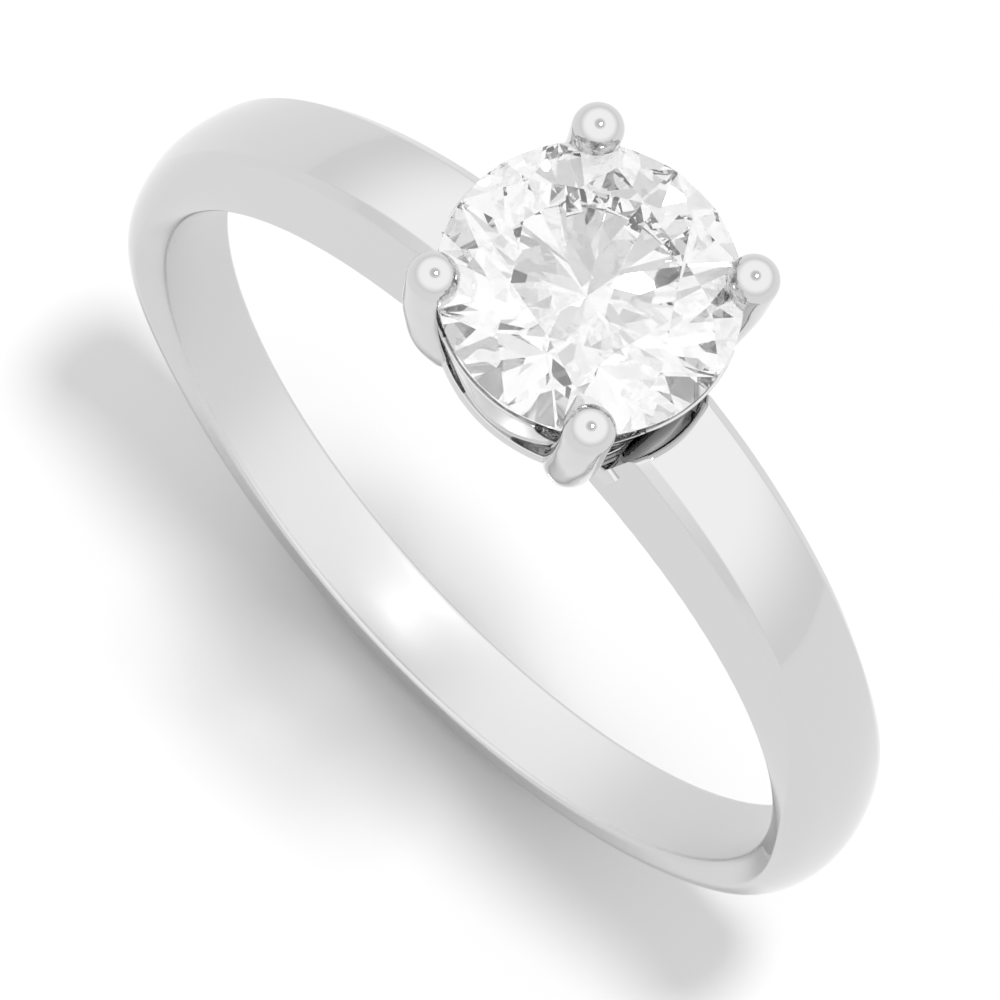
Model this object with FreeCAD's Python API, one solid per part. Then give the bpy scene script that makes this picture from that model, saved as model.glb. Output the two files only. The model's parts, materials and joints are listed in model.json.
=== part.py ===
"""Four-prong solitaire engagement ring: a tapering hoop, a wire basket head and a round brilliant stone.

Frame: the origin is the centre of the finger hole, +Y runs along the finger, +Z points up to the stone.
Millimetres. Angles round the hoop are measured from +Z towards +X.
"""
import FreeCAD, Part
import math
import os

from FreeCAD import Vector

# Finger hole, US size 7
BORE_RADIUS = 8.65

# Reach of the cutting tools, past anything they meet
CUT_REACH = 12.0

# Hoop: domed and narrow at the palm, fuller at the sides, wide, thick and flat-topped at the head
PALM_WALL_WIDTH = 1.70
HEAD_WALL_WIDTH = 2.60
PALM_THICKNESS = 1.25
HEAD_THICKNESS = 2.35
WIDTH_GROWTH = 4.3
THICKNESS_GROWTH = 11.0
RIM_CHAMFER = 0.08
PALM_FLARE = 0.08
HEAD_FLARE = -0.20
SIDE_FLARE = 0.34
SIDE_FLARE_POWER = 8
ROUND_SHOULDER_HEIGHT = 0.38
BEVEL_DROP = 0.23
BEVEL_WIDTH = 0.24
BEVEL_FROM = 58.0
BEVEL_FADE = 0.40
TOP_CROWN = 0.07
ROUND_TOP_WIDTH = 0.56
ROUND_TOP_CROWN = 0.15
CRISP_FROM = 85.0
CRISP_FULL = 40.0
SHOULDER_END = 16.0
SECTION_STEP = 8.2
ROOT_DEPTH = 0.3
SADDLE_TOP = 9.30
SADDLE_WIDTH = 2.60

# Round brilliant stone
STONE_RADIUS = 3.06
GIRDLE_Z = 12.60
GIRDLE_THICKNESS = 0.14
TABLE_RATIO = 0.57
CROWN_ANGLE = 34.5
PAVILION_ANGLE = 40.75
STAR_RATIO = 0.50
LOWER_HALF_RATIO = 0.77
STONE_TURN = 11.0

# Prongs: round wire, domed at the tip and at the foot
PRONG_RADIUS = 0.51
TIP_RADIUS = 0.53
TIP_AT = Vector(2.16, 2.33, 13.10)
PRONG_WAIST = Vector(2.13, 2.28, 12.00)
PRONG_MIDDLE = Vector(2.03, 2.13, 11.00)
PRONG_KNEE = Vector(1.87, 1.92, 10.00)
FOOT_AT = Vector(1.68, 1.62, 9.22)

# Scalloped rail under the girdle
RAIL_TOP_Z = 12.44
RAIL_TOP_RADIUS = 3.12
RAIL_LOW_Z = 9.58
RAIL_LOW_RADIUS = 2.36
RAIL_THICKNESS = 0.50
LEDGE_RADIUS = 2.28
LEDGE_Z = 11.66
ARCH_HALF_WIDTH = 1.52
ARCH_TOP_Z = 10.32
NOTCH_HALF_WIDTH = 1.10
NOTCH_LOW_Z = 11.05

# Bars between the prong feet
BAR_LOW_Z = 9.30
BAR_HEIGHT = 0.30
BAR_THICKNESS = 0.42
BAR_END = 1.85
BAR_BOW = 2.42

# Solder left in the corner between each shoulder and the bar beside it
SOLDER_HALF_WIDTH = 0.85
SOLDER_RISE = 0.22


def blend(low, high, amount):
    return low + (high - low) * amount


def smooth_step(value):
    value = min(max(value, 0.0), 1.0)
    return value * value * (3.0 - 2.0 * value)


def hoop_sizes(angle):
    """Wall width, thickness, flare and crispness of the hoop's section at an angle from the head."""
    towards_head = math.cos(math.radians(angle / 2.0))
    width = blend(PALM_WALL_WIDTH, HEAD_WALL_WIDTH, towards_head ** WIDTH_GROWTH)
    thickness = blend(PALM_THICKNESS, HEAD_THICKNESS, towards_head ** THICKNESS_GROWTH)
    crisp = smooth_step((CRISP_FROM - angle) / (CRISP_FROM - CRISP_FULL))
    sideways = math.sin(math.radians(angle)) ** SIDE_FLARE_POWER
    flare = blend(PALM_FLARE, HEAD_FLARE, crisp) + SIDE_FLARE * sideways
    return width, thickness, flare, crisp


def half_section(angle):
    """Three-pole curves of one half of the section, as (across, above the bore wall) pairs."""
    width, thickness, flare, crisp = hoop_sizes(angle)
    rim = width / 2.0
    root = (rim - ROOT_DEPTH, -ROOT_DEPTH)
    edge = (rim + RIM_CHAMFER, RIM_CHAMFER)
    bevel = blend(BEVEL_FADE, 1.0, smooth_step((BEVEL_FROM - angle) / (BEVEL_FROM - SHOULDER_END)))
    crisp_height = thickness - TOP_CROWN - BEVEL_DROP * bevel
    shoulder_height = blend(ROUND_SHOULDER_HEIGHT * thickness, crisp_height, crisp)
    shoulder = (rim + flare, shoulder_height)
    flat_reach = blend(ROUND_TOP_WIDTH * shoulder[0], shoulder[0] - BEVEL_WIDTH * bevel, crisp)
    flat = (flat_reach, thickness - blend(ROUND_TOP_CROWN, TOP_CROWN, crisp))
    top = (0.0, 2.0 * thickness - flat[1])
    slope = (top[1] - flat[1]) / flat[0]
    round_pole = (shoulder[0], flat[1] - slope * (shoulder[0] - flat[0]))
    crisp_pole = ((shoulder[0] + flat[0]) / 2.0, (shoulder[1] + flat[1]) / 2.0)
    corner = tuple(blend(round_pole[i], crisp_pole[i], crisp) for i in (0, 1))
    middle = ((edge[0] + shoulder[0]) / 2.0, (edge[1] + shoulder[1]) / 2.0)
    chamfer = ((root[0] + edge[0]) / 2.0, (root[1] + edge[1]) / 2.0)
    return [(root, chamfer, edge), (edge, middle, shoulder), (shoulder, corner, flat)], (flat, top)


def place(point, turn):
    """A section point (across, above the wall) turned about the finger axis from +Z towards +X."""
    radius = BORE_RADIUS + point[1]
    turn = math.radians(turn)
    return Vector(radius * math.sin(turn), point[0], radius * math.cos(turn))


def curve_edge(poles):
    curve = Part.BezierCurve()
    curve.setPoles(poles)
    return curve.toBSpline().toShape()


def section_wire(turn):
    angle = turn if turn <= 180.0 else 360.0 - turn
    side, (flat, top) = half_section(angle)

    def mirrored(point):
        return (-point[0], point[1])

    curves = list(side)
    curves.append((flat, top, mirrored(flat)))
    curves += [tuple(mirrored(p) for p in reversed(curve)) for curve in reversed(side)]
    root = side[0][0]
    curves.append((mirrored(root), (0.0, root[1]), root))
    return Part.Wire([curve_edge([place(p, turn) for p in curve]) for curve in curves])


def bore_cutter():
    return Part.makeCylinder(BORE_RADIUS, 2.0 * CUT_REACH, Vector(0, -CUT_REACH, 0), Vector(0, 1, 0))


def make_shank():
    """The hoop: two shoulders that end beside the head, joined under it by a flat saddle."""
    count = int(round((360.0 - 2.0 * SHOULDER_END) / SECTION_STEP))
    turns = [blend(SHOULDER_END, 360.0 - SHOULDER_END, i / count) for i in range(count + 1)]
    hoop = Part.makeLoft([section_wire(turn) for turn in turns], True, False)
    reach = math.radians(SHOULDER_END)
    low = (BORE_RADIUS - ROOT_DEPTH) * math.cos(reach)
    outline = [
        Vector(-low * math.tan(reach), -SADDLE_WIDTH / 2.0, low),
        Vector(low * math.tan(reach), -SADDLE_WIDTH / 2.0, low),
        Vector(SADDLE_TOP * math.tan(reach), -SADDLE_WIDTH / 2.0, SADDLE_TOP),
        Vector(-SADDLE_TOP * math.tan(reach), -SADDLE_WIDTH / 2.0, SADDLE_TOP),
    ]
    face = Part.Face(Part.makePolygon(outline + outline[:1]))
    saddle = face.extrude(Vector(0, SADDLE_WIDTH, 0))
    return hoop.fuse(saddle).cut(bore_cutter()).removeSplitter()


def cut_below(solid, points, outward):
    """Remove what lies beyond the plane through three points, on the side that outward points to."""
    normal = (points[1] - points[0]).cross(points[2] - points[0]).normalize()
    if normal.dot(outward) < 0:
        normal = normal * -1.0
    corner = Vector(-CUT_REACH, -CUT_REACH, 0)
    block = Part.makeBox(2.0 * CUT_REACH, 2.0 * CUT_REACH, CUT_REACH, corner)
    block.Placement = FreeCAD.Placement(points[0], FreeCAD.Rotation(Vector(0, 0, 1), normal))
    return solid.cut(block)


def make_centre_stone():
    """Round brilliant: table, 8 stars, 8 mains and 16 halves above; 8 mains and 16 halves below."""
    top = GIRDLE_Z + GIRDLE_THICKNESS / 2.0
    low = GIRDLE_Z - GIRDLE_THICKNESS / 2.0
    table = TABLE_RATIO * STONE_RADIUS
    crown_slope = math.tan(math.radians(CROWN_ANGLE))
    pavilion_slope = math.tan(math.radians(PAVILION_ANGLE))
    table_z = top + (STONE_RADIUS - table) * crown_slope
    culet_z = low - STONE_RADIUS * pavilion_slope
    half_turn = math.cos(math.radians(22.5))

    def at(radius, degrees, z):
        turn = math.radians(degrees + STONE_TURN)
        return Vector(radius * math.cos(turn), radius * math.sin(turn), z)

    star = blend(table * half_turn, STONE_RADIUS, STAR_RATIO)
    star_z = table_z - crown_slope * (star * half_turn - table)
    lower = (1.0 - LOWER_HALF_RATIO) * STONE_RADIUS
    lower_z = culet_z + pavilion_slope * lower * half_turn
    stone = Part.makeCylinder(STONE_RADIUS, table_z - culet_z, Vector(0, 0, culet_z))
    up = Vector(0, 0, 1)
    down = Vector(0, 0, -1)
    for k in range(8):
        main = 45.0 * k
        corner = at(table, main, table_z)
        next_corner = at(table, main + 45.0, table_z)
        girdle_point = at(STONE_RADIUS, main, top)
        level = at(1.0, main + 90.0, 0.0)
        stone = cut_below(stone, [corner, girdle_point, corner + level], up)
        culet = Vector(0, 0, culet_z)
        low_point = at(STONE_RADIUS, main, low)
        stone = cut_below(stone, [culet, low_point, culet + level], down)
        star_tip = at(star, main + 22.5, star_z)
        stone = cut_below(stone, [corner, next_corner, star_tip], up)
        lower_tip = at(lower, main + 22.5, lower_z)
        for beside in (main, main + 45.0):
            between = main + 22.5
            upper = [star_tip, at(STONE_RADIUS, beside, top), at(STONE_RADIUS, between, top)]
            stone = cut_below(stone, upper, up)
            under = [lower_tip, at(STONE_RADIUS, beside, low), at(STONE_RADIUS, between, low)]
            stone = cut_below(stone, under, down)
    return stone


def make_prong(x_sign, y_sign, shank, stone):
    """One wire from its foot beside the saddle up to the tip that holds the stone's edge."""
    stops = [FOOT_AT, PRONG_KNEE, PRONG_MIDDLE, PRONG_WAIST, TIP_AT]
    points = [Vector(p.x * x_sign, p.y * y_sign, p.z) for p in stops]
    spine = Part.BSplineCurve()
    spine.interpolate(points)
    path = Part.Wire([spine.toShape()])
    start = Part.Circle(points[0], spine.tangent(0.0)[0], PRONG_RADIUS)
    wire = path.makePipeShell([Part.Wire([start.toShape()])], True, False)
    wire = wire.fuse(Part.makeSphere(PRONG_RADIUS, points[0]))
    wire = wire.fuse(Part.makeSphere(TIP_RADIUS, points[-1]))
    return wire.cut(shank).cut(stone)


def make_scalloped_rail(prongs, stone):
    """A tapering band that hangs in four points under the girdle, with a notch over each prong."""
    taper = (RAIL_TOP_RADIUS - RAIL_LOW_RADIUS) / (RAIL_TOP_Z - RAIL_LOW_Z)
    wall_radius = RAIL_LOW_RADIUS - RAIL_THICKNESS + taper * (LEDGE_Z - RAIL_LOW_Z)
    profile = [
        Vector(LEDGE_RADIUS, 0, RAIL_TOP_Z),
        Vector(RAIL_TOP_RADIUS, 0, RAIL_TOP_Z),
        Vector(RAIL_LOW_RADIUS, 0, RAIL_LOW_Z),
        Vector(RAIL_LOW_RADIUS - RAIL_THICKNESS, 0, RAIL_LOW_Z),
        Vector(wall_radius, 0, LEDGE_Z),
        Vector(LEDGE_RADIUS, 0, LEDGE_Z),
    ]
    face = Part.Face(Part.makePolygon(profile + profile[:1]))
    band = face.revolve(Vector(0, 0, 0), Vector(0, 0, 1), 360)
    openings = [
        (RAIL_LOW_Z, ARCH_TOP_Z - RAIL_LOW_Z, ARCH_HALF_WIDTH),
        (RAIL_TOP_Z, RAIL_TOP_Z - NOTCH_LOW_Z, NOTCH_HALF_WIDTH),
    ]
    across = FreeCAD.Rotation(Vector(0, 0, 1), Vector(0, 1, 0), Vector(1, 0, 0), "ZXY")
    for k in range(4):
        turn = FreeCAD.Rotation(Vector(0, 0, 1), 45.0 + 90.0 * k)
        for z, height, half_width in openings:
            sizes = sorted((height, half_width), reverse=True)
            ellipse = Part.Ellipse(Vector(0, 0, 0), *sizes)
            opening = Part.Face(Part.Wire([ellipse.toShape()])).extrude(Vector(0, 0, CUT_REACH))
            if height < half_width:
                opening.rotate(Vector(0, 0, 0), Vector(0, 0, 1), 90.0)
            place_it = FreeCAD.Placement(Vector(0, 0, z), turn.multiply(across))
            opening = opening.transformed(place_it.toMatrix())
            band = band.cut(opening)
    for prong in prongs:
        band = band.cut(prong)
    return max(band.cut(stone).Solids, key=lambda solid: solid.Volume)


def make_bar(turn, prongs, shank, rail):
    """A bowed bar between two prong feet; turn is its direction from the head's centre."""
    def outline(inset):
        out = BAR_BOW - inset
        end = BAR_END - inset
        return Part.Arc(Vector(end, -BAR_END, 0), Vector(out, 0, 0), Vector(end, BAR_END, 0)).toShape()

    outer = outline(0.0)
    inner = outline(BAR_THICKNESS)
    ends = [
        Part.makeLine(outer.Vertexes[-1].Point, inner.Vertexes[-1].Point),
        Part.makeLine(inner.Vertexes[0].Point, outer.Vertexes[0].Point),
    ]
    bar = Part.Face(Part.Wire([outer, ends[0], inner, ends[1]])).extrude(Vector(0, 0, BAR_HEIGHT))
    bar.translate(Vector(0, 0, BAR_LOW_Z))
    bar.rotate(Vector(0, 0, 0), Vector(0, 0, 1), turn)
    for other in prongs + [shank, rail]:
        bar = bar.cut(other)
    return max(bar.Solids, key=lambda solid: solid.Volume)


def make_solder(side, shank, bar, rail):
    """The fillet of solder in the corner between the saddle, a shoulder's end and its bar."""
    reach = math.tan(math.radians(SHOULDER_END))
    outline = [
        Vector(BAR_BOW - BAR_THICKNESS / 2.0, -SOLDER_HALF_WIDTH, SADDLE_TOP),
        Vector(SADDLE_TOP * reach, -SOLDER_HALF_WIDTH, SADDLE_TOP),
        Vector((SADDLE_TOP + SOLDER_RISE) * reach, -SOLDER_HALF_WIDTH, SADDLE_TOP + SOLDER_RISE),
        Vector(BAR_BOW - BAR_THICKNESS / 2.0, -SOLDER_HALF_WIDTH, SADDLE_TOP + SOLDER_RISE),
    ]
    face = Part.Face(Part.makePolygon(outline + outline[:1]))
    solder = face.extrude(Vector(0, 2.0 * SOLDER_HALF_WIDTH, 0))
    if side < 0:
        solder.rotate(Vector(0, 0, 0), Vector(0, 0, 1), 180.0)
    for other in (shank, bar, rail):
        solder = solder.cut(other)
    return max(solder.Solids, key=lambda solid: solid.Volume)


def make_parts():
    shank = make_shank()
    stone = make_centre_stone()
    corners = {
        "prong_front_left": (-1, -1),
        "prong_front_right": (1, -1),
        "prong_back_left": (-1, 1),
        "prong_back_right": (1, 1),
    }
    prongs = {name: make_prong(x, y, shank, stone) for name, (x, y) in corners.items()}
    rail = make_scalloped_rail(list(prongs.values()), stone)
    directions = {"gallery_bar_right": 0.0, "gallery_bar_back": 90.0,
                  "gallery_bar_left": 180.0, "gallery_bar_front": 270.0}
    bars = {name: make_bar(turn, list(prongs.values()), shank, rail) for name, turn in directions.items()}
    parts = {"shank": shank, "centre_stone": stone, "scalloped_rail": rail}
    parts.update(prongs)
    parts.update(bars)
    parts["solder_right"] = make_solder(1, shank, bars["gallery_bar_right"], rail)
    parts["solder_left"] = make_solder(-1, shank, bars["gallery_bar_left"], rail)
    return parts


os.makedirs("parts", exist_ok=True)
for name, shape in make_parts().items():
    print(name, "solids", len(shape.Solids), "valid", shape.isValid(), "volume", round(shape.Volume, 3))
    shape.exportStep("parts/" + name + ".step")
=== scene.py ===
"""Looks of a four-prong solitaire ring: polished white gold and a faceted stone on a white table.

Shapes are worked out in millimetres in the ring's own frame and scaled to metres when a mesh is made.
Angles round the hoop are measured from +Z towards +X.
"""
import json
import math

import bmesh
import bpy
import numpy as np
from mathutils import Matrix, Vector


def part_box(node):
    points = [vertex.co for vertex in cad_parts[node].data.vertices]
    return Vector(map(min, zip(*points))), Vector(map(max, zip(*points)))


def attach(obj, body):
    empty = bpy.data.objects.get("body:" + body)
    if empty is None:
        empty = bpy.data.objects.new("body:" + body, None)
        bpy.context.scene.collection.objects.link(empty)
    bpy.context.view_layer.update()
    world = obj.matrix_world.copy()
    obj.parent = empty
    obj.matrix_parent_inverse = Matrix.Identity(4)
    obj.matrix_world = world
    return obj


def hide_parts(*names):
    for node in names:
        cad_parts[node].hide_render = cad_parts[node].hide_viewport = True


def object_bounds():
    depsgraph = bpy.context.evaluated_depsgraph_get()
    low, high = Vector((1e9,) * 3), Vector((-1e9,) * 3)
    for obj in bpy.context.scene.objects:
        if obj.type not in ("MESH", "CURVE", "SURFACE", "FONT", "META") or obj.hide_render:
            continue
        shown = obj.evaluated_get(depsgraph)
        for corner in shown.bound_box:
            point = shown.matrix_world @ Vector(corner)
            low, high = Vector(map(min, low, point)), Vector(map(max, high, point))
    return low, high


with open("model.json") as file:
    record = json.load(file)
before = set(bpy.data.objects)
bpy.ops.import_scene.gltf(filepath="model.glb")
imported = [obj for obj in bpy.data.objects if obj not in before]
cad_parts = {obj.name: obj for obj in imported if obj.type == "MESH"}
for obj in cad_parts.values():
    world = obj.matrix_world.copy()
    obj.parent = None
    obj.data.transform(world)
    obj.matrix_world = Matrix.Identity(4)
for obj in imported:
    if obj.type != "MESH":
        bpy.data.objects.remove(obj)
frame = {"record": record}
cad_low, cad_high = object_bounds()

MM = 0.001

# Camera
CAMERA_AZIMUTH = 23.39
CAMERA_ELEVATION = 68.25
CAMERA_ROLL = 22.58
CAMERA_DISTANCE = 287.5
CAMERA_OFFSET = (0.031, 0.158)
CAMERA_LENS = 506.5

# Hoop
BORE_RADIUS = frame["record"]["mounts"][0]["dims"]["r_mm"]
PALM_WALL_WIDTH = 1.70
HEAD_WALL_WIDTH = 2.60
PALM_THICKNESS = -cad_low.z / MM - BORE_RADIUS
HEAD_THICKNESS = 2.35
WIDTH_GROWTH = 4.3
THICKNESS_GROWTH = 11.0
RIM_CHAMFER = 0.08
PALM_FLARE = 0.08
HEAD_FLARE = -0.20
SIDE_FLARE = 0.34
CRISP_FROM = 85.0
CRISP_FULL = 40.0
BEVEL_WIDTH = 0.24
BEVEL_DROP = 0.23
CROWN_RISE = 0.07
PALM_CROWN_RISE = 0.15
PALM_SHOULDER_HEIGHT = 0.38
PALM_FLAT_SHARE = 0.56
BEVEL_FROM = 58.0
BEVEL_FADE = 0.40
SOFT_EDGE = 0.06
CRISP_EDGE = 0.012
SHOULDER_END = 16.0
SHOULDER_ROLL = 0.8
SHOULDER_ROUND = 0.12
SHOULDER_HUG = 2.90
SHOULDER_HUG_REACH = 6.0
SADDLE_TOP = 9.30
SADDLE_HALF_WIDTH = 1.30
SADDLE_EDGE = 0.08

# Stone and basket, measured on the frame
stone_low, stone_high = (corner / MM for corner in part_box("centre_stone"))
rail_low, rail_high = (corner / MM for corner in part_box("scalloped_rail"))
prong_low, prong_high = (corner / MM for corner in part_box("prong_back_right"))
bar_low, bar_high = (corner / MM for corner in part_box("gallery_bar_back"))
STONE_RADIUS = (stone_high.x - stone_low.x) / 2.0
TABLE_RATIO = 0.57
CROWN_ANGLE = 34.5
PAVILION_ANGLE = 40.75
STONE_TURN = 11.0
STAR_RATIO = 0.50
LOWER_RATIO = 0.23
STONE_BOUNCES = 24
RAIL_LOW_RADIUS = 2.36
RAIL_WALL = 0.30
RAIL_SEAT_GAP = 0.02
RAIL_LIP = 0.06
RAIL_EDGE = 0.04
RAIL_ARCH_HALF_WIDTH = 1.52
RAIL_ARCH_TOP = 10.32
RAIL_NOTCH_HALF_WIDTH = 1.10
RAIL_NOTCH_LOW = 11.05
PRONG_RADIUS = 0.51
TIP_RADIUS = 0.53
PRONG_STOPS = [(1.87, 1.92, 10.0), (2.03, 2.13, 11.0), (2.13, 2.28, 12.0)]
PRONG_SIDES = 96
PRONG_STEPS = 90
TIP_SWELL_STEPS = 19
POINT_RADIUS = 0.0005
BAR_END = 1.85
BAR_THICKNESS = 0.42
SOLDER_SPREAD = 0.10
SOLDER_CREST = 0.25
SOLDER_HOLLOW = 0.15
SOLDER_LIP = 0.10
SOLDER_PINCH = 0.35
SEAT_MARGIN = 0.008
CREASE = 50.0
SEAT_CREASE = 30.0

# Finish
GOLD_COLOUR = (0.62, 0.62, 0.62)
GOLD_ROUGHNESS = 0.03
SOLDER_COLOUR = (0.60, 0.60, 0.60)
SOLDER_ROUGHNESS = 0.08
STONE_COLOUR = (0.69, 0.69, 0.69)
BORE_ROUGHNESS = 0.30
# Painted shade: an occlusion test darkens the metal's colour towards this grey in recesses and where parts
# meet
RECESS_SHADE_DEPTH = 1.6
RECESS_SHADE_FULL = 0.12
RECESS_SHADE_NONE = 0.42
RECESS_SHADE_COLOUR = (0.42, 0.42, 0.42)

# Studio: a tent with white walls and a greyer open top, and one soft lamp overhead
TABLE_RADIUS = 600.0
TABLE_TONE = 0.55
KEY_DIRECTION = (0.07, 0.05, 1.0)
KEY_DISTANCE = 1.6
KEY_SIZE = 0.24
KEY_POWER = 17.0
WALL_GLOW = 1.38
HORIZON_SHARE = 0.71
WALL_FULL = 32.0
TOP_GLOW = 0.80
TOP_FROM = 62.0
TOP_FULL = 78.0


def blend(low, high, amount):
    return low + (high - low) * amount


def smooth_step(value):
    value = min(max(value, 0.0), 1.0)
    return value * value * (3.0 - 2.0 * value)


# ---------------------------------------------------------------- meshes

def finish_mesh(name, vertices, faces, sharp_angle=None):
    """A mesh object from points in millimetres, smooth shaded with creases over the given angle."""
    mesh = bpy.data.meshes.new(name)
    mesh.from_pydata([tuple(v * MM for v in p) for p in vertices], [], faces)
    mesh.validate()
    work = bmesh.new()
    work.from_mesh(mesh)
    bmesh.ops.recalc_face_normals(work, faces=work.faces)
    work.to_mesh(mesh)
    work.free()
    mesh.shade_smooth()
    if sharp_angle is not None:
        mesh.set_sharp_from_angle(angle=math.radians(sharp_angle))
    piece = bpy.data.objects.new(name, mesh)
    bpy.context.scene.collection.objects.link(piece)
    return piece


def skin(rings, closed):
    """Quads over a list of equally long rings of points; closed joins the last ring to the first."""
    count = len(rings[0])
    faces = []
    spans = len(rings) if closed else len(rings) - 1
    for i in range(spans):
        here = i * count
        there = ((i + 1) % len(rings)) * count
        for j in range(count):
            k = (j + 1) % count
            faces.append((here + j, here + k, there + k, there + j))
    return faces


def curve_points(start, pole, end, count):
    """Points of a three-pole curve, without its last one."""
    steps = np.linspace(0.0, 1.0, count, endpoint=False)[:, None]
    start, pole, end = (np.array(p, float) for p in (start, pole, end))
    return (1 - steps) ** 2 * start + 2 * steps * (1 - steps) * pole + steps ** 2 * end


def polygon(corners, counts):
    """A closed outline with straight sides, each with its own number of points."""
    sides = []
    for i, number in enumerate(counts):
        a, b = corners[i], corners[(i + 1) % len(corners)]
        sides.append(curve_points(a, ((a[0] + b[0]) / 2.0, (a[1] + b[1]) / 2.0), b, number))
    return np.vstack(sides)


def capped(rings):
    """The faces of an open loft with both of its ends closed."""
    count = len(rings[0])
    last = (len(rings) - 1) * count
    return skin(rings, False) + [tuple(range(count)), tuple(range(last, last + count))]


def round_corners(outline, radius):
    """A closed outline resampled evenly and softened so that its corners get about that radius."""
    closed = np.vstack([outline, outline[:1]])
    lengths = np.linalg.norm(np.diff(closed, axis=0), axis=1)
    along = np.concatenate([[0.0], np.cumsum(lengths)])
    total = along[-1]
    count = len(outline)
    even = np.linspace(0.0, total, count, endpoint=False)
    points = np.stack([np.interp(even, along, closed[:, i]) for i in (0, 1)], axis=1)
    reach = max(radius / (total / count), 1.0)
    half = math.ceil(reach)
    share = np.abs(np.arange(-half, half + 1)) / (reach + 1.0)
    kernel = 1.0 + np.cos(math.pi * np.minimum(share, 1.0))
    kernel /= kernel.sum()
    wrapped = np.vstack([points[-half:], points, points[:half]])
    return np.stack([np.convolve(wrapped[:, i], kernel, mode="valid") for i in (0, 1)], axis=1)


# ---------------------------------------------------------------- hoop

def hoop_section(angle):
    """The hoop's closed section at an angle from the head, as (across, above the bore wall)."""
    towards_head = math.cos(math.radians(angle / 2.0))
    width = blend(PALM_WALL_WIDTH, HEAD_WALL_WIDTH, towards_head ** WIDTH_GROWTH)
    thickness = blend(PALM_THICKNESS, HEAD_THICKNESS, towards_head ** THICKNESS_GROWTH)
    crisp = smooth_step((CRISP_FROM - angle) / (CRISP_FROM - CRISP_FULL))
    flare = blend(PALM_FLARE, HEAD_FLARE, crisp) + SIDE_FLARE * math.sin(math.radians(angle)) ** 8
    bevel = blend(BEVEL_FADE, 1.0, smooth_step((BEVEL_FROM - angle) / (BEVEL_FROM - SHOULDER_END)))
    rim = (width / 2.0, 0.0)
    edge = (rim[0] + RIM_CHAMFER, RIM_CHAMFER)
    crisp_drop = CROWN_RISE + BEVEL_DROP * bevel
    shoulder = (rim[0] + flare, blend(PALM_SHOULDER_HEIGHT * thickness, thickness - crisp_drop, crisp))
    flat_half_width = blend(PALM_FLAT_SHARE * shoulder[0], shoulder[0] - BEVEL_WIDTH * bevel, crisp)
    flat = (flat_half_width, thickness - blend(PALM_CROWN_RISE, CROWN_RISE, crisp))
    top = (0.0, 2.0 * thickness - flat[1])
    slope = (top[1] - flat[1]) / flat[0]
    round_pole = (shoulder[0], flat[1] - slope * (shoulder[0] - flat[0]))
    crisp_pole = ((shoulder[0] + flat[0]) / 2.0, (shoulder[1] + flat[1]) / 2.0)
    corner = tuple(blend(round_pole[i], crisp_pole[i], crisp) for i in (0, 1))

    def middle(a, b):
        return ((a[0] + b[0]) / 2.0, (a[1] + b[1]) / 2.0)

    def mirrored(point):
        return (-point[0], point[1])

    side = [
        (rim, middle(rim, edge), edge, 10),
        (edge, middle(edge, shoulder), shoulder, 60),
        (shoulder, corner, flat, 50),
    ]
    spans = side + [(flat, top, mirrored(flat), 120)]
    spans += [(mirrored(c), mirrored(b), mirrored(a), n) for a, b, c, n in reversed(side)]
    spans.append((mirrored(rim), (0.0, 0.0), rim, 40))
    outline = np.vstack([curve_points(a, b, c, n) for a, b, c, n in spans])
    return round_corners(outline, blend(SOFT_EDGE, CRISP_EDGE, crisp))


def saddle_section(turn, count):
    """The flat bridge under the head, with as many points as the hoop's section."""
    top = SADDLE_TOP / math.cos(math.radians(turn)) - BORE_RADIUS
    wide = SADDLE_HALF_WIDTH
    corners = [(wide, 0.0), (wide, top), (-wide, top), (-wide, 0.0)]
    outline = polygon(corners, (44, 112, 44, 40))
    steps = np.linspace(0, len(outline), count, endpoint=False).astype(int)
    return round_corners(outline[steps], SADDLE_EDGE)


def placed(section, turn, hug=0.0):
    """Section points turned about the finger axis; hug of 1 or -1 bends the section round the basket."""
    radius = BORE_RADIUS + section[:, 1]
    bend = SHOULDER_HUG - np.sqrt(np.maximum(SHOULDER_HUG ** 2 - section[:, 0] ** 2, 0.0))
    angle = math.radians(turn) + hug * bend / radius
    return np.stack([radius * np.sin(angle), section[:, 0], radius * np.cos(angle)], axis=1)


def make_shank():
    """One closed loft: the hoop from shoulder to shoulder, a rounded end face each side, and the saddle."""
    rings = []
    first = SHOULDER_END + SHOULDER_ROLL
    for turn in np.linspace(first, 360.0 - first, 380):
        angle = turn if turn <= 180.0 else 360.0 - turn
        hug = smooth_step((first + SHOULDER_HUG_REACH - angle) / SHOULDER_HUG_REACH)
        rings.append(placed(hoop_section(angle), turn, hug if turn > 180.0 else -hug))
    end_section = hoop_section(first)
    low_section = saddle_section(SHOULDER_END, len(end_section))
    fall = [(SHOULDER_ROLL * math.sin(t), SHOULDER_ROUND * (1.0 - math.cos(t)))
            for t in np.linspace(0.1, math.pi / 2.0, 14)]
    drops = fall + [(SHOULDER_ROLL, w) for w in np.linspace(SHOULDER_ROUND, 1.0, 16)[1:-1]]
    left = [placed(blend(end_section, low_section, w), 360.0 - first + turned, 1.0) for turned, w in drops]
    right = [placed(blend(end_section, low_section, w), first - turned, -1.0) for turned, w in drops]
    rings += left
    rings += [placed(saddle_section(turn, len(end_section)), turn)
              for turn in np.linspace(-SHOULDER_END, SHOULDER_END, 60)]
    rings += list(reversed(right))
    vertices = np.vstack(rings)
    return finish_mesh("polished_shank", vertices, skin(rings, True), CREASE)


# ---------------------------------------------------------------- head

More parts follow.
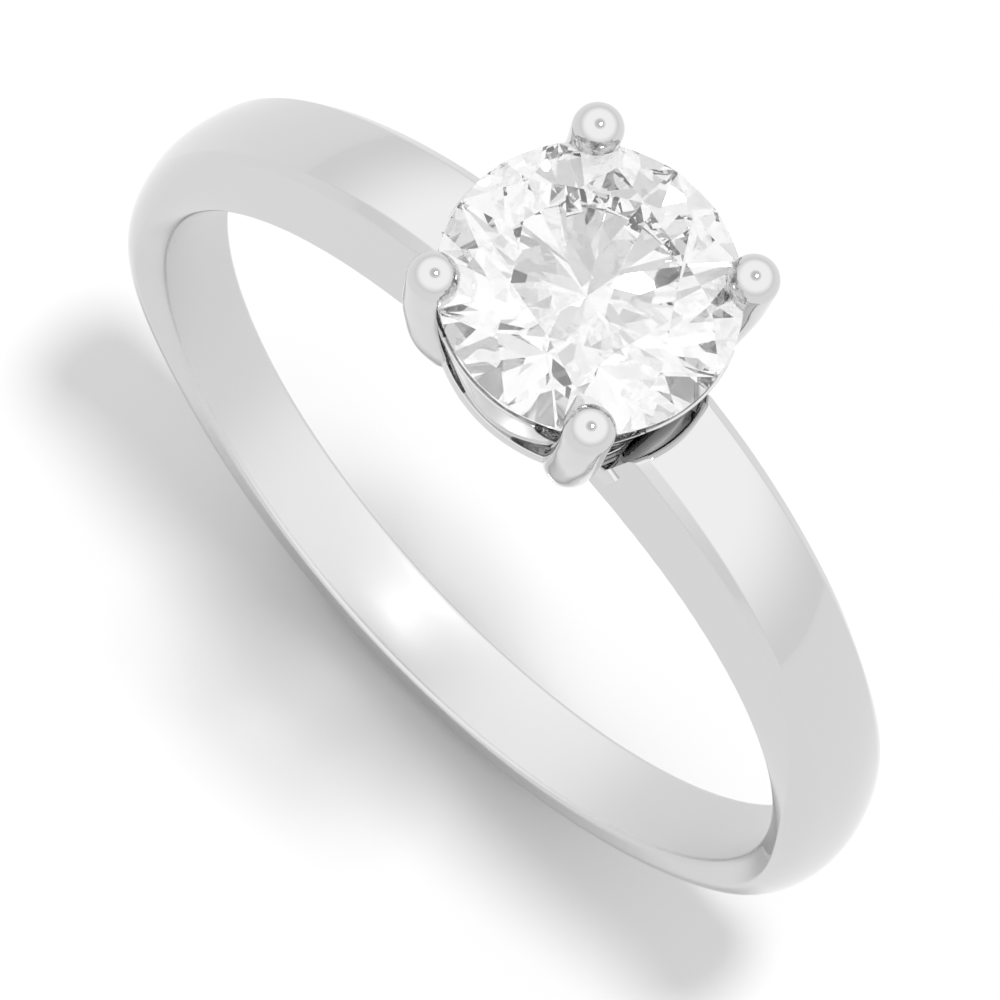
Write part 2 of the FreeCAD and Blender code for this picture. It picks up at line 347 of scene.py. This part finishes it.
def spline(points, count):
    """A smooth curve through a few points, evenly sampled."""
    points = np.array(points, float)
    knots = np.concatenate([[0.0], np.cumsum(np.linalg.norm(np.diff(points, axis=0), axis=1))])
    size = len(points)
    gaps = np.diff(knots)
    matrix = np.eye(size)
    right = np.zeros_like(points)
    for i in range(1, size - 1):
        matrix[i, i - 1:i + 2] = gaps[i - 1], 2.0 * (gaps[i - 1] + gaps[i]), gaps[i]
        right[i] = 6.0 * ((points[i + 1] - points[i]) / gaps[i] - (points[i] - points[i - 1]) / gaps[i - 1])
    bend = np.linalg.solve(matrix, right)
    out = []
    for s in np.linspace(0.0, knots[-1], count):
        i = min(int(np.searchsorted(knots, s, side="right")) - 1, size - 2)
        a, b, g = knots[i + 1] - s, s - knots[i], gaps[i]
        out.append(
            (bend[i] * a ** 3 + bend[i + 1] * b ** 3) / (6.0 * g)
            + (points[i] / g - bend[i] * g / 6.0) * a
            + (points[i + 1] / g - bend[i + 1] * g / 6.0) * b
        )
    return np.array(out)


def tube_rings(path, radii, sides):
    """Rings of a round tube along a path, one radius each, with a frame that does not twist."""
    tangents = np.gradient(path, axis=0)
    tangents /= np.linalg.norm(tangents, axis=1)[:, None]
    across = np.cross(tangents[0], (0.0, 1.0, 0.0))
    rings = []
    angles = np.linspace(0.0, 2.0 * math.pi, sides, endpoint=False)
    for centre, tangent, radius in zip(path, tangents, radii):
        across = across - tangent * (across @ tangent)
        across /= np.linalg.norm(across)
        other = np.cross(tangent, across)
        rings.append(centre + radius * (np.cos(angles)[:, None] * across + np.sin(angles)[:, None] * other))
    return rings


def make_prong(name, x_sign, y_sign, stone_cutter):
    """A bent round wire with a domed heel and a slightly larger domed tip, notched for the stone."""
    tip = np.array([prong_high.x - TIP_RADIUS, prong_high.y - TIP_RADIUS, prong_high.z - TIP_RADIUS])
    foot = np.array([prong_low.x + PRONG_RADIUS, prong_low.y + PRONG_RADIUS, prong_low.z + PRONG_RADIUS])
    path = spline([foot, *PRONG_STOPS, tip], PRONG_STEPS)
    up = (path[-1] - path[-2]) / np.linalg.norm(path[-1] - path[-2])
    down = (path[0] - path[1]) / np.linalg.norm(path[0] - path[1])
    bead_turns = np.linspace(0.0, math.pi / 2.0, 28)
    bead = [tip + up * TIP_RADIUS * math.sin(t) for t in bead_turns[1:]]
    bead_radii = [max(TIP_RADIUS * math.cos(t), POINT_RADIUS) for t in bead_turns[1:]]
    heel = [foot + down * PRONG_RADIUS * math.sin(t) for t in reversed(bead_turns[1:])]
    heel_radii = [max(PRONG_RADIUS * math.cos(t), POINT_RADIUS) for t in reversed(bead_turns[1:])]
    swell_from = PRONG_STEPS - 1 - TIP_SWELL_STEPS
    swell = [blend(PRONG_RADIUS, TIP_RADIUS, smooth_step((i - swell_from) / TIP_SWELL_STEPS))
             for i in range(PRONG_STEPS)]
    whole = np.vstack([heel, path, bead])
    rings = tube_rings(whole, heel_radii + swell + bead_radii, PRONG_SIDES)
    piece = finish_mesh(name, np.vstack(rings) * np.array([x_sign, y_sign, 1.0]), capped(rings))
    cut_away(piece, stone_cutter)
    return piece


def cut_away(piece, cutter):
    """Removes what lies inside the cutter, and keeps the crease of the cut."""
    modifier = piece.modifiers.new("seat", "BOOLEAN")
    modifier.operation = "DIFFERENCE"
    modifier.solver = "EXACT"
    modifier.object = cutter
    graph = bpy.context.evaluated_depsgraph_get()
    mesh = bpy.data.meshes.new_from_object(piece.evaluated_get(graph))
    piece.modifiers.clear()
    piece.data = mesh
    mesh.shade_smooth()
    mesh.set_sharp_from_angle(angle=math.radians(SEAT_CREASE))


def hump(beside, half_width):
    """1 in the middle, falling as an ellipse to 0 at the half width."""
    return math.sqrt(max(1.0 - (beside / half_width) ** 2, 0.0))


def rail_section(from_prong):
    """The band's section at an angle from the nearest prong, as (outwards, up), clear of the stone."""
    taper = (rail_high.x - RAIL_LOW_RADIUS) / (rail_high.z - rail_low.z)
    slope = math.tan(math.radians(PAVILION_ANGLE))
    beside = rail_high.x * math.sin(math.radians(from_prong))
    bottom = blend(rail_low.z, RAIL_ARCH_TOP, hump(beside, RAIL_ARCH_HALF_WIDTH))
    top = blend(rail_high.z, RAIL_NOTCH_LOW, hump(beside, RAIL_NOTCH_HALF_WIDTH))
    outer_top, outer_low = ((RAIL_LOW_RADIUS + taper * (z - rail_low.z), z) for z in (top, bottom))
    seat = stone_low.z + (outer_top[0] - RAIL_WALL - RAIL_SEAT_GAP) * slope
    seat = min(seat, top - RAIL_SEAT_GAP)
    lip = max(outer_top[0] - RAIL_WALL, (top - stone_low.z) / slope + RAIL_SEAT_GAP)
    lip = min(lip, outer_top[0] - RAIL_LIP)
    inner_low = (outer_low[0] - RAIL_WALL, bottom)
    inner_seat = (RAIL_LOW_RADIUS + taper * (seat - rail_low.z) - RAIL_WALL, seat)
    corners = [(lip, top), outer_top, outer_low, inner_low, inner_seat]
    return round_corners(polygon(corners, (12, 60, 16, 50, 14)), RAIL_EDGE)


def make_scalloped_rail():
    """A tapering band that hangs down between the prongs, with a notch at each prong in its upper edge."""
    rings = []
    for degrees in np.linspace(0.0, 360.0, 720, endpoint=False):
        section = rail_section(abs((degrees % 90.0) - 45.0))
        angle = math.radians(degrees)
        rings.append(np.stack([
            section[:, 0] * math.cos(angle), section[:, 0] * math.sin(angle), section[:, 1],
        ], axis=1))
    return finish_mesh("scalloped_basket_rail", np.vstack(rings), skin(rings, True), CREASE)


def make_bar(name, turn):
    """A bowed bar with rounded edges from prong foot to prong foot."""
    bow = max(abs(bar_low.y), abs(bar_high.y))
    height = bar_high.z - bar_low.z
    sagitta = bow - BAR_END
    radius = (BAR_END ** 2 + sagitta ** 2) / (2.0 * sagitta)
    centre = bow - radius
    reach = math.asin(BAR_END / radius)
    corners = [(0.0, 0.0), (0.0, height), (-BAR_THICKNESS, height), (-BAR_THICKNESS, 0.0)]
    section = round_corners(polygon(corners, (16, 16, 16, 16)), SOFT_EDGE)
    rings = []
    for t in np.linspace(-reach, reach, 48):
        rings.append(np.stack([
            centre + (radius + section[:, 0]) * math.cos(t),
            (radius + section[:, 0]) * math.sin(t),
            bar_low.z + section[:, 1],
        ], axis=1))
    turned = np.array(Matrix.Rotation(math.radians(turn), 3, "Z"), float)
    return finish_mesh(name, np.vstack(rings) @ turned.T, capped(rings), CREASE)


def make_solder(name, side):
    """A hollow fillet of solder from the end of a shoulder up to the bar beside it."""
    low, high = (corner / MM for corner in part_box("solder_right"))
    near, far = low.x, high.x + SOLDER_SPREAD
    base, crest = low.z, high.z + SOLDER_CREST
    lip = (far, base + SOLDER_LIP)
    wall = curve_points((near, crest), (near + SOLDER_HOLLOW, base + SOLDER_HOLLOW), lip, 24)
    floor = curve_points((far, base), ((near + far) / 2.0, base), (near, base), 12)
    outline = np.vstack([wall, [lip], floor, [(near, base)]])
    rings = []
    for y in np.linspace(low.y, high.y, 24):
        from_middle = abs(2.0 * (y - low.y) / (high.y - low.y) - 1.0)
        shrink = 1.0 - SOLDER_PINCH * from_middle ** 4
        section = outline.copy()
        section[:, 0] = near + (section[:, 0] - near) * shrink
        section[:, 1] = base + (section[:, 1] - base) * shrink
        rings.append(np.stack([side * section[:, 0], np.full(len(section), y), section[:, 1]], axis=1))
    return finish_mesh(name, np.vstack(rings), capped(rings), CREASE)


# ---------------------------------------------------------------- stone

def make_brilliant(name, margin=0.0):
    """Round brilliant, a disc cut by the planes of its facets; margin grows it evenly all round."""
    top_z, culet_z = stone_high.z, stone_low.z
    girdle_radius = STONE_RADIUS
    table = TABLE_RATIO * girdle_radius
    crown = math.tan(math.radians(CROWN_ANGLE))
    pavilion = math.tan(math.radians(PAVILION_ANGLE))
    girdle_top = top_z - (girdle_radius - table) * crown
    girdle_low = culet_z + girdle_radius * pavilion
    half_turn = math.cos(math.radians(22.5))
    star = blend(table * half_turn, girdle_radius, STAR_RATIO)
    star_z = top_z - crown * (star * half_turn - table)
    lower = LOWER_RATIO * girdle_radius
    lower_z = culet_z + pavilion * lower * half_turn

    def at(radius, degrees, z):
        turn = math.radians(degrees + STONE_TURN)
        return Vector((radius * math.cos(turn), radius * math.sin(turn), z))

    work = bmesh.new()
    bmesh.ops.create_cone(
        work, cap_ends=True, segments=192,
        radius1=girdle_radius + margin, radius2=girdle_radius + margin,
        depth=top_z - culet_z + 2.0 * margin,
        matrix=Matrix.Translation((0, 0, (top_z + culet_z) / 2.0)),
    )

    def cut(points, outward):
        normal = (points[1] - points[0]).cross(points[2] - points[0]).normalized()
        if normal.dot(outward) < 0:
            normal = -normal
        everything = work.verts[:] + work.edges[:] + work.faces[:]
        made = bmesh.ops.bisect_plane(
            work, geom=everything, plane_co=points[0] + normal * margin, plane_no=normal,
            clear_outer=True, dist=1e-6,
        )
        rim = [item for item in made["geom_cut"] if isinstance(item, bmesh.types.BMEdge)]
        bmesh.ops.contextual_create(work, geom=rim)

    up, down = Vector((0, 0, 1)), Vector((0, 0, -1))
    culet = Vector((0, 0, culet_z))
    for k in range(8):
        main = 45.0 * k
        corner, next_corner = at(table, main, top_z), at(table, main + 45.0, top_z)
        level = at(1.0, main + 90.0, 0.0)
        cut([corner, at(girdle_radius, main, girdle_top), corner + level], up)
        cut([culet, at(girdle_radius, main, girdle_low), culet + level], down)
        star_tip = at(star, main + 22.5, star_z)
        lower_tip = at(lower, main + 22.5, lower_z)
        cut([corner, next_corner, star_tip], up)
        for beside in (main, main + 45.0):
            upper_edge, lower_edge = (
                [at(girdle_radius, degrees, z) for degrees in (beside, main + 22.5)]
                for z in (girdle_top, girdle_low)
            )
            cut([star_tip, *upper_edge], up)
            cut([lower_tip, *lower_edge], down)
    bmesh.ops.remove_doubles(work, verts=work.verts, dist=1e-5)
    bmesh.ops.scale(work, vec=(MM, MM, MM), verts=work.verts)
    bmesh.ops.recalc_face_normals(work, faces=work.faces)
    mesh = bpy.data.meshes.new(name)
    work.to_mesh(mesh)
    work.free()
    mesh.shade_flat()
    piece = bpy.data.objects.new(name, mesh)
    bpy.context.scene.collection.objects.link(piece)
    return piece


# ---------------------------------------------------------------- materials

def new_material(name):
    material = bpy.data.materials.new(name)
    material.use_nodes = True
    tree = material.node_tree
    return material, tree, tree.nodes["Principled BSDF"]


def metal(name, colour, roughness):
    """Polished metal: faint cloudiness, hairline scratches, painted shade that darkens the colour in
    recesses, and a satin finger hole.
    """
    material, tree, shader = new_material(name)
    nodes, links = tree.nodes, tree.links
    shader.inputs["Metallic"].default_value = 1.0
    # Painted shade: the base colour is darkened towards a grey wherever an occlusion test finds a recess or
    # a neighbouring part
    recess = nodes.new("ShaderNodeAmbientOcclusion")
    recess.samples = 8
    recess.inputs["Distance"].default_value = RECESS_SHADE_DEPTH * MM
    painted_shade_amount = nodes.new("ShaderNodeMapRange")
    painted_shade_amount.interpolation_type = "SMOOTHSTEP"
    painted_shade_amount.inputs["From Min"].default_value = RECESS_SHADE_FULL
    painted_shade_amount.inputs["From Max"].default_value = RECESS_SHADE_NONE
    links.new(recess.outputs["AO"], painted_shade_amount.inputs["Value"])
    shade = nodes.new("ShaderNodeMix")
    shade.data_type = "RGBA"
    shade.inputs["A"].default_value = (*RECESS_SHADE_COLOUR, 1.0)
    shade.inputs["B"].default_value = (*colour, 1.0)
    links.new(painted_shade_amount.outputs["Result"], shade.inputs["Factor"])
    links.new(shade.outputs["Result"], shader.inputs["Base Color"])
    place = nodes.new("ShaderNodeTexCoord")
    cloud = nodes.new("ShaderNodeTexNoise")
    cloud.inputs["Scale"].default_value = 420.0
    cloud.inputs["Detail"].default_value = 4.0
    links.new(place.outputs["Object"], cloud.inputs["Vector"])
    spread = nodes.new("ShaderNodeMapRange")
    spread.inputs["To Min"].default_value = roughness * 0.6
    spread.inputs["To Max"].default_value = roughness * 1.5
    links.new(cloud.outputs["Fac"], spread.inputs["Value"])
    from_axis = nodes.new("ShaderNodeVectorMath")
    from_axis.operation = "MULTIPLY"
    from_axis.inputs[1].default_value = (1.0, 0.0, 1.0)
    links.new(place.outputs["Object"], from_axis.inputs[0])
    distance = nodes.new("ShaderNodeVectorMath")
    distance.operation = "LENGTH"
    links.new(from_axis.outputs["Vector"], distance.inputs[0])
    satin = nodes.new("ShaderNodeMapRange")
    satin.interpolation_type = "SMOOTHSTEP"
    satin.inputs["From Min"].default_value = (BORE_RADIUS + 0.01) * MM
    satin.inputs["From Max"].default_value = (BORE_RADIUS + 0.06) * MM
    satin.inputs["To Min"].default_value = BORE_ROUGHNESS
    satin.inputs["To Max"].default_value = 0.0
    links.new(distance.outputs["Value"], satin.inputs["Value"])
    total = nodes.new("ShaderNodeMath")
    total.operation = "ADD"
    links.new(spread.outputs["Result"], total.inputs[0])
    links.new(satin.outputs["Result"], total.inputs[1])
    links.new(total.outputs[0], shader.inputs["Roughness"])
    stretch = nodes.new("ShaderNodeMapping")
    stretch.inputs["Scale"].default_value = (1.0, 14.0, 1.0)
    links.new(place.outputs["Object"], stretch.inputs["Vector"])
    hairs = nodes.new("ShaderNodeTexNoise")
    hairs.inputs["Scale"].default_value = 2600.0
    hairs.inputs["Detail"].default_value = 2.0
    links.new(stretch.outputs["Vector"], hairs.inputs["Vector"])
    bump = nodes.new("ShaderNodeBump")
    bump.inputs["Strength"].default_value = 0.03
    bump.inputs["Distance"].default_value = 0.00001
    links.new(hairs.outputs["Fac"], bump.inputs["Height"])
    links.new(bump.outputs["Normal"], shader.inputs["Normal"])
    return material


def diamond(name):
    """Clear stone with a faint unevenness in its polish."""
    material, tree, shader = new_material(name)
    shader.inputs["Base Color"].default_value = (*STONE_COLOUR, 1.0)
    shader.inputs["Transmission Weight"].default_value = 1.0
    shader.inputs["IOR"].default_value = 2.42
    nodes, links = tree.nodes, tree.links
    place = nodes.new("ShaderNodeTexCoord")
    haze = nodes.new("ShaderNodeTexNoise")
    haze.inputs["Scale"].default_value = 900.0
    links.new(place.outputs["Object"], haze.inputs["Vector"])
    spread = nodes.new("ShaderNodeMapRange")
    spread.inputs["From Min"].default_value = 0.6
    spread.inputs["To Min"].default_value = 0.0
    spread.inputs["To Max"].default_value = 0.015
    links.new(haze.outputs["Fac"], spread.inputs["Value"])
    links.new(spread.outputs["Result"], shader.inputs["Roughness"])
    return material


def table_top(name):
    material, _, shader = new_material(name)
    shader.inputs["Base Color"].default_value = (TABLE_TONE, TABLE_TONE, TABLE_TONE, 1.0)
    shader.inputs["Roughness"].default_value = 0.9
    shader.inputs["Specular IOR Level"].default_value = 0.0
    return material


# ---------------------------------------------------------------- studio

def make_world():
    """A light tent, greyer at its open top and down by the table than on its walls."""
    world = bpy.data.worlds.new("light_tent")
    bpy.context.scene.world = world
    world.use_nodes = True
    nodes, links = world.node_tree.nodes, world.node_tree.links
    background = nodes["Background"]
    place = nodes.new("ShaderNodeTexCoord")
    split = nodes.new("ShaderNodeSeparateXYZ")
    links.new(place.outputs["Generated"], split.inputs[0])

    def graded(start, end, low, high):
        """Moves smoothly from low to high between two elevations."""
        node = nodes.new("ShaderNodeMapRange")
        node.interpolation_type = "SMOOTHSTEP"
        node.inputs["From Min"].default_value = math.sin(math.radians(start))
        node.inputs["From Max"].default_value = math.sin(math.radians(end))
        node.inputs["To Min"].default_value = low
        node.inputs["To Max"].default_value = high
        links.new(split.outputs["Z"], node.inputs["Value"])
        return node.outputs["Result"]

    glow = nodes.new("ShaderNodeMath")
    glow.operation = "MULTIPLY"
    links.new(graded(0.0, WALL_FULL, HORIZON_SHARE, 1.0), glow.inputs[0])
    links.new(graded(TOP_FROM, TOP_FULL, WALL_GLOW, TOP_GLOW), glow.inputs[1])
    background.inputs["Color"].default_value = (1.0, 1.0, 1.0, 1.0)
    links.new(glow.outputs[0], background.inputs["Strength"])


def make_key_light():
    """A soft round lamp overhead."""
    lamp = bpy.data.lights.new("key", "AREA")
    lamp.shape = "DISK"
    lamp.size = KEY_SIZE
    lamp.energy = KEY_POWER
    key = bpy.data.objects.new("key", lamp)
    ahead = Vector(KEY_DIRECTION).normalized()
    key.location = ahead * KEY_DISTANCE
    key.rotation_euler = ahead.to_track_quat("Z", "Y").to_euler()
    bpy.context.scene.collection.objects.link(key)


def disc(name, radius, height):
    count = 96
    turns = [2.0 * math.pi * i / count for i in range(count)]
    rim = [(radius * math.cos(t), radius * math.sin(t), height) for t in turns]
    return finish_mesh(name, rim, [tuple(range(count))])


def make_floor():
    floor = disc("table_top", TABLE_RADIUS, cad_low.z / MM)
    floor.data.materials.append(table_top("white_table"))


def make_camera():
    azimuth = math.radians(CAMERA_AZIMUTH)
    elevation = math.radians(CAMERA_ELEVATION)
    roll = math.radians(CAMERA_ROLL)
    back = Vector((
        math.sin(azimuth) * math.cos(elevation),
        -math.cos(azimuth) * math.cos(elevation),
        math.sin(elevation),
    ))
    level = Vector((math.cos(azimuth), math.sin(azimuth), 0.0))
    rise = back.cross(level)
    right = math.cos(roll) * level + math.sin(roll) * rise
    up = back.cross(right)
    place = (CAMERA_DISTANCE * back + CAMERA_OFFSET[0] * right + CAMERA_OFFSET[1] * up) * MM
    camera = bpy.data.objects.new("camera", bpy.data.cameras.new("camera"))
    camera.matrix_world = Matrix.Translation(place) @ Matrix((right, up, back)).transposed().to_4x4()
    camera.data.sensor_width = 36.0
    camera.data.lens = CAMERA_LENS
    camera.data.clip_start = 0.02
    camera.data.clip_end = 20.0
    bpy.context.scene.collection.objects.link(camera)
    bpy.context.scene.camera = camera


# ---------------------------------------------------------------- assembly

def wear(piece, material, slot, *nodes):
    piece.data.materials.clear()
    piece.data.materials.append(material)
    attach(piece, "root")
    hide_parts(*nodes)


white_gold = metal("polished_white_gold", GOLD_COLOUR, GOLD_ROUGHNESS)
solder = metal("white_solder", SOLDER_COLOUR, SOLDER_ROUGHNESS)

wear(make_shank(), white_gold, "white_gold", "shank")
wear(make_scalloped_rail(), white_gold, "white_gold", "scalloped_rail")

seat_cutter = make_brilliant("seat_cutter", SEAT_MARGIN)
for side, x_sign in (("left", -1), ("right", 1)):
    for end, y_sign in (("front", -1), ("back", 1)):
        prong = make_prong(f"claw_{end}_{side}", x_sign, y_sign, seat_cutter)
        wear(prong, white_gold, "white_gold", f"prong_{end}_{side}")
bpy.data.objects.remove(seat_cutter)

for where, turn in (("right", 0.0), ("back", 90.0), ("left", 180.0), ("front", 270.0)):
    wear(make_bar(f"basket_bar_{where}", turn), white_gold, "white_gold", f"gallery_bar_{where}")
for where, side in (("right", 1), ("left", -1)):
    wear(make_solder(f"solder_fillet_{where}", side), solder, "solder", f"solder_{where}")

stone = make_brilliant("round_brilliant")
stone.visible_shadow = False
wear(stone, diamond("colourless_diamond"), "stone", "centre_stone")

make_world()
make_key_light()
make_floor()
make_camera()
bpy.context.scene.cycles.max_bounces = STONE_BOUNCES
bpy.context.scene.cycles.glossy_bounces = STONE_BOUNCES
bpy.context.scene.cycles.transmission_bounces = STONE_BOUNCES
bpy.context.scene.view_settings.view_transform = "Standard"
